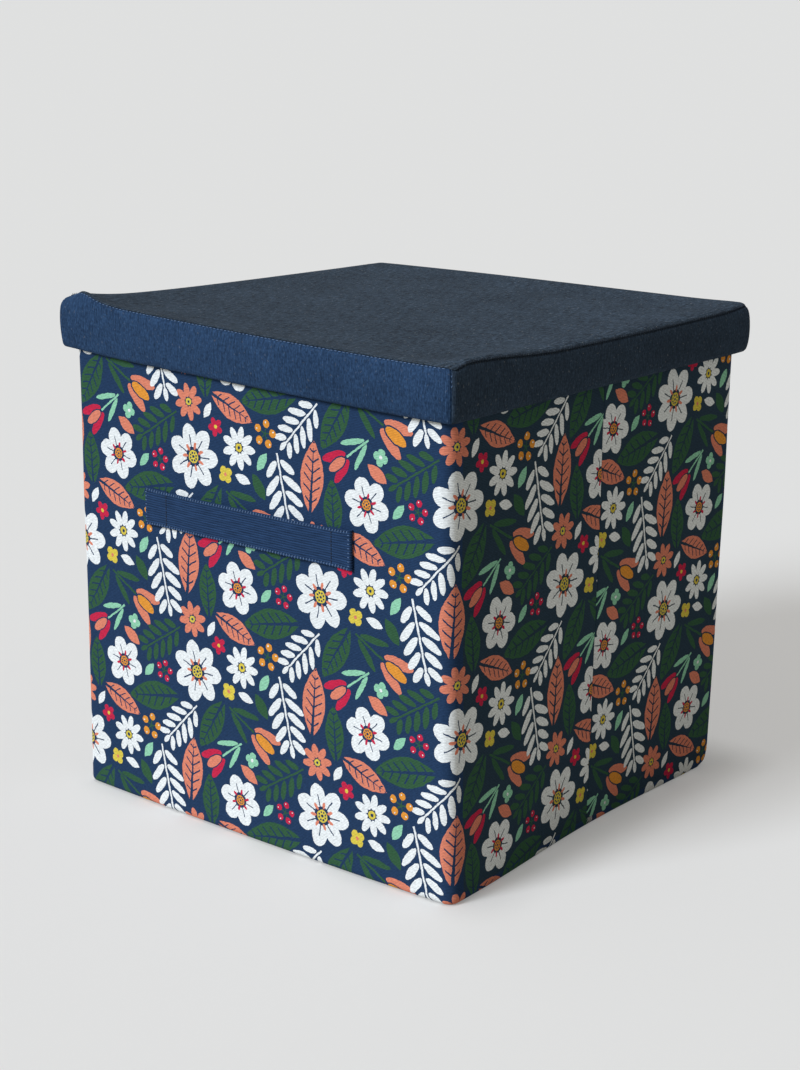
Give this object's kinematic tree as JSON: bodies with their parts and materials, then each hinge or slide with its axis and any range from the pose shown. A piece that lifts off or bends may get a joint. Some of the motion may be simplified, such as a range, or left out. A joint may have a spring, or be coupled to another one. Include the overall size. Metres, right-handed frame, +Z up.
{
  "type": "fabric storage bin",
  "caption": "Collapsible cloth storage cube with card-stiffened folding walls, webbing strap handles, a loose base board and a drop-over lid.",
  "frame": {"origin": "centre of the bin's footprint, on the surface that it stands on", "axes": "+Z up, the handle face in front at -Y, the mid-side seams at -X and +X"},
  "size_m": [0.3168, 0.3126, 0.318],
  "materials": {
    "printed_canvas": "ribbed cotton canvas with a printed flower pattern on navy",
    "navy_canvas": "plain navy ribbed canvas",
    "navy_webbing": "navy ribbed webbing",
    "lining_cloth": "charcoal non-woven lining",
    "grey_card": "uncoated grey card board"
  },
  "bodies": {
    "front_wall": {"cover_front": "printed_canvas", "board_front": "grey_card", "lining_front": "lining_cloth", "floor_cloth": "printed_canvas", "handle_front": "navy_webbing", "corner_front_left": "printed_canvas", "corner_front_right": "printed_canvas"},
    "left_front_wall": {"cover_left_front": "printed_canvas", "board_left_front": "grey_card", "lining_left_front": "lining_cloth"},
    "left_rear_wall": {"cover_left_rear": "printed_canvas", "board_left_rear": "grey_card", "lining_left_rear": "lining_cloth"},
    "back_wall": {"cover_back": "printed_canvas", "board_back": "grey_card", "lining_back": "lining_cloth", "handle_back": "navy_webbing", "corner_back_left": "printed_canvas", "corner_back_right": "printed_canvas"},
    "right_front_wall": {"cover_right_front": "printed_canvas", "board_right_front": "grey_card", "lining_right_front": "lining_cloth"},
    "right_rear_wall": {"cover_right_rear": "printed_canvas", "board_right_rear": "grey_card", "lining_right_rear": "lining_cloth"},
    "lid": {"lid_top_cloth": "navy_canvas", "lid_board": "grey_card", "lid_lining": "lining_cloth", "rim_cloth_front": "navy_canvas", "rim_board_front": "grey_card", "rim_cloth_right": "navy_canvas", "rim_board_right": "grey_card", "rim_cloth_back": "navy_canvas", "rim_board_back": "grey_card", "rim_cloth_left": "navy_canvas", "rim_board_left": "grey_card"},
    "base_insert": {"insert_board": "grey_card", "insert_cover": "lining_cloth"}
  },
  "joints": [
    {"name": "wall_fold", "type": "hinge", "parent": "front_wall", "child": "left_front_wall", "pos_m": [-0.145, -0.142, 0.1565], "axis": [0, 0, 1], "range_deg": [-88, 0], "deforming": ["corner_front_left", "corner_back_right", "floor_cloth"]},
    {"name": "left_crease", "type": "hinge", "parent": "left_front_wall", "child": "left_rear_wall", "pos_m": [-0.1525, 0, 0.1565], "axis": [0, 0, -1], "range_deg": [-176, 0]},
    {"name": "back_left_corner", "type": "hinge", "parent": "left_rear_wall", "child": "back_wall", "pos_m": [-0.145, 0.142, 0.1565], "axis": [0, 0, 1], "range_deg": [-88, 0], "deforming": ["corner_back_left"]},
    {"name": "front_right_corner", "type": "hinge", "parent": "front_wall", "child": "right_front_wall", "pos_m": [0.145, -0.142, 0.1565], "axis": [0, 0, -1], "range_deg": [-88, 0], "deforming": ["corner_front_right"]},
    {"name": "right_crease", "type": "hinge", "parent": "right_front_wall", "child": "right_rear_wall", "pos_m": [0.1525, 0, 0.1565], "axis": [0, 0, 1], "range_deg": [-176, 0]},
    {"name": "base_tip", "type": "hinge", "parent": "front_wall", "child": "base_insert", "pos_m": [0, -0.145, 0.0045], "axis": [-1, 0, 0], "range_deg": [-90, 0]},
    {"name": "lid_lift", "type": "slide", "parent": "front_wall", "child": "lid", "axis": [0, 0, 1], "range_m": [0, 0.25]}
  ],
  "couplings": [
    {"joint": "left_crease", "follows": "wall_fold", "ratio": 2},
    {"joint": "back_left_corner", "follows": "wall_fold", "ratio": 1},
    {"joint": "front_right_corner", "follows": "wall_fold", "ratio": 1},
    {"joint": "right_crease", "follows": "wall_fold", "ratio": 2}
  ]
}
